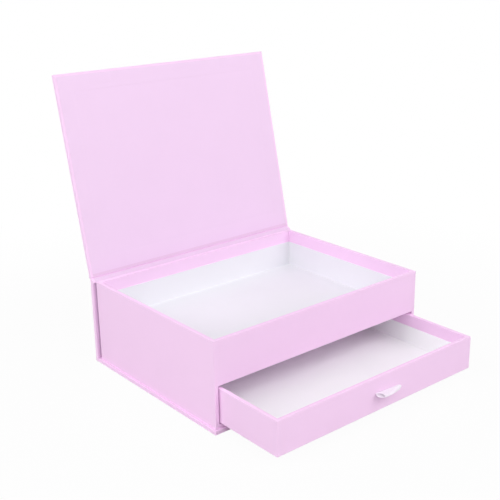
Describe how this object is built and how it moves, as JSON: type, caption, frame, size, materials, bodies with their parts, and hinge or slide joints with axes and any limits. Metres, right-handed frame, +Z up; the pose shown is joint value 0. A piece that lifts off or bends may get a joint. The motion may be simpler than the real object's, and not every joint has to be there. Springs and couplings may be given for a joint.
{
  "type": "paperboard gift box with hinged lid and drawer",
  "caption": "Rigid paperboard gift box: a book-style magnetic lid over an open tray, and a shallow drawer with a ribbon pull that slides out of the front below the tray.",
  "frame": {"origin": "on the underside of the base, under the middle of the box body's footprint", "axes": "+Z up; -Y is the front, where the drawer comes out; +X is to the right seen from the front"},
  "size_m": [0.22, 0.2751, 0.2403],
  "materials": {
    "greyboard": "raw greyboard, hidden under the paper",
    "pink_paper": "matt pale pink wrap paper, lightly textured",
    "white_paper": "matt white lining paper",
    "ribbon": "white woven ribbon with a slight sheen",
    "magnet": "nickel-plated magnet, hidden under the paper"
  },
  "bodies": {
    "box": {"base_board": "greyboard", "base_wrap": "pink_paper", "bay_floor": "greyboard", "left_wall": "greyboard", "right_wall": "greyboard", "back_wall": "greyboard", "front_panel": "greyboard", "tray_floor": "greyboard", "body_wrap": "pink_paper", "tray_lining": "white_paper", "tray_magnet_left": "magnet", "tray_magnet_right": "magnet"},
    "spine": {"spine_board": "greyboard", "spine_wrap": "pink_paper", "spine_liner": "pink_paper"},
    "lid": {"lid_board": "greyboard", "lid_wrap": "pink_paper", "lid_liner": "pink_paper", "lid_magnet_left": "magnet", "lid_magnet_right": "magnet"},
    "drawer": {"drawer_bottom": "greyboard", "drawer_front": "greyboard", "drawer_back": "greyboard", "drawer_left": "greyboard", "drawer_right": "greyboard", "drawer_wrap": "pink_paper", "drawer_lining": "white_paper", "ribbon_pull": "ribbon"}
  },
  "joints": [
    {"name": "spine_hinge", "type": "hinge", "parent": "box", "child": "spine", "pos_m": [0, 0.0857, 0], "axis": [-1, 0, 0], "range_deg": [0, 80]},
    {"name": "lid_hinge", "type": "hinge", "parent": "spine", "child": "lid", "pos_m": [0, 0.0857, 0.07535], "axis": [-1, 0, 0], "range_deg": [-102.6, 0]},
    {"name": "drawer_slide", "type": "slide", "parent": "box", "child": "drawer", "axis": [0, -1, 0], "range_m": [-0.063, 0.0527]}
  ]
}
